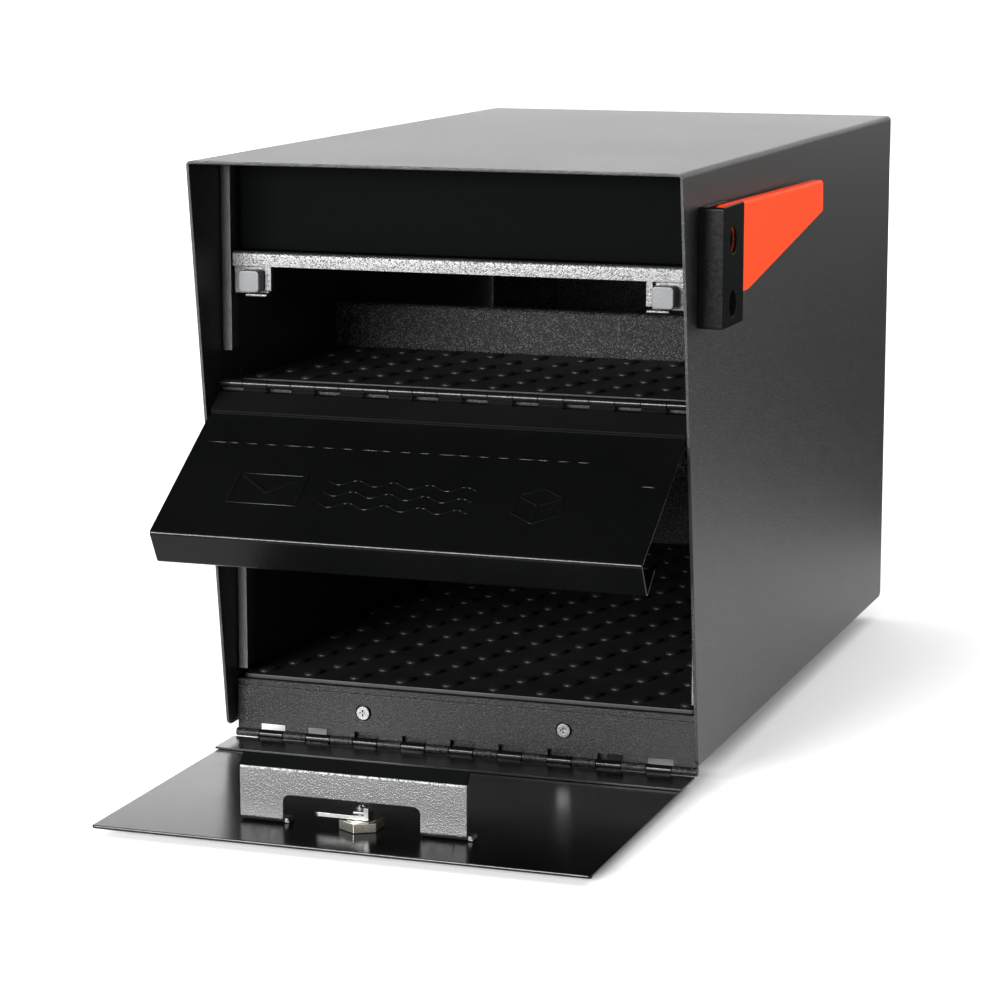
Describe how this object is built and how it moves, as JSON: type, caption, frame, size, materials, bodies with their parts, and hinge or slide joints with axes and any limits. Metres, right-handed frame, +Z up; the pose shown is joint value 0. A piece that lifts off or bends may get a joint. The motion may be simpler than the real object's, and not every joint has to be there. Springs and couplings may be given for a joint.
{
  "type": "locking parcel drop box",
  "caption": "Black steel curbside parcel drop box with a drop-down mail door, a locking access door below, piano hinges, lined shelf and floor, and an orange side flag.",
  "frame": {"origin": "middle of the mounting pan's flat underside, on the cabinet's centre plane", "axes": "+Z up, -Y out through the two front doors, +X towards the wall that carries the flag"},
  "size_m": [0.315, 0.696, 0.365],
  "materials": {
    "cabinet_paint": "black textured powder coat, semi-gloss",
    "pan_paint": "black powder coat, satin",
    "door_paint": "black powder coat, semi-gloss, smoother than the cabinet",
    "hinge_paint": "black powder coat, worn to a shine on the knuckles",
    "mat_rubber": "black moulded rubber with raised nubs",
    "bumper_rubber": "pale grey, smooth",
    "zinc_steel": "zinc plated",
    "lock_brass": "nickel-plated brass",
    "flag_housing_plastic": "black, smooth satin",
    "flag_plastic": "orange-red, smooth, bevelled edges"
  },
  "bodies": {
    "cabinet": {"body_shell": "cabinet_paint", "rear_panel": "cabinet_paint", "floor_pan": "cabinet_paint", "mail_shelf": "cabinet_paint", "shelf_baffle": "cabinet_paint", "header_panel": "cabinet_paint", "upper_jamb_left": "cabinet_paint", "upper_jamb_right": "cabinet_paint", "lower_jamb_left": "cabinet_paint", "lower_jamb_right": "cabinet_paint", "strike_rail": "cabinet_paint", "mounting_pan": "pan_paint", "access_hinge_fixed_leaf": "hinge_paint", "access_hinge_pin": "hinge_paint", "mail_hinge_fixed_leaf": "hinge_paint", "floor_mat": "mat_rubber", "shelf_mat": "mat_rubber", "bumper_left": "bumper_rubber", "bumper_right": "bumper_rubber", "threshold_screw_left": "zinc_steel", "threshold_screw_right": "zinc_steel", "flag_screw_upper": "zinc_steel", "flag_screw_lower": "zinc_steel", "flag_nut_upper": "zinc_steel", "flag_nut_lower": "zinc_steel", "flag_housing": "flag_housing_plastic", "flag_bush": "flag_housing_plastic"},
    "access_door": {"access_hinge_moving_leaf": "hinge_paint", "access_door_panel": "door_paint", "latch_guard": "door_paint", "guard_weld_left": "door_paint", "guard_weld_right": "door_paint", "lock_housing": "lock_brass", "lock_nut": "lock_brass"},
    "lock_rotor": {"lock_plug": "lock_brass", "lock_cam": "zinc_steel", "cam_washer": "zinc_steel", "cam_screw": "zinc_steel"},
    "mail_pin": {"mail_hinge_pin": "hinge_paint"},
    "mail_door": {"mail_hinge_moving_leaf": "hinge_paint", "mail_door_panel": "door_paint"},
    "flag": {"flag_blade": "flag_plastic"}
  },
  "joints": [
    {"name": "access_hinge", "type": "hinge", "parent": "cabinet", "child": "access_door", "pos_m": [0, -0.2405, 0.01], "axis": [-1, 0, 0], "range_deg": [0, 90]},
    {"name": "mail_lift", "type": "hinge", "parent": "cabinet", "child": "mail_pin", "pos_m": [0, -0.258, 0.2298], "axis": [-1, 0, 0], "range_deg": [0, 40.6]},
    {"name": "mail_hinge", "type": "hinge", "parent": "mail_pin", "child": "mail_door", "pos_m": [0, -0.258, 0.2298], "axis": [-1, 0, 0], "range_deg": [0, 86.5]},
    {"name": "lock_turn", "type": "hinge", "parent": "access_door", "child": "lock_rotor", "pos_m": [-0.0013, -0.4022, 0.016], "axis": [0, 0, 1], "range_deg": [0, 90]},
    {"name": "flag_pivot", "type": "hinge", "parent": "cabinet", "child": "flag", "pos_m": [0.1586, -0.242, 0.324], "axis": [1, 0, 0], "range_deg": [0, 90]}
  ],
  "couplings": [
    {"joint": "mail_lift", "follows": "access_hinge", "ratio": 0.45}
  ]
}
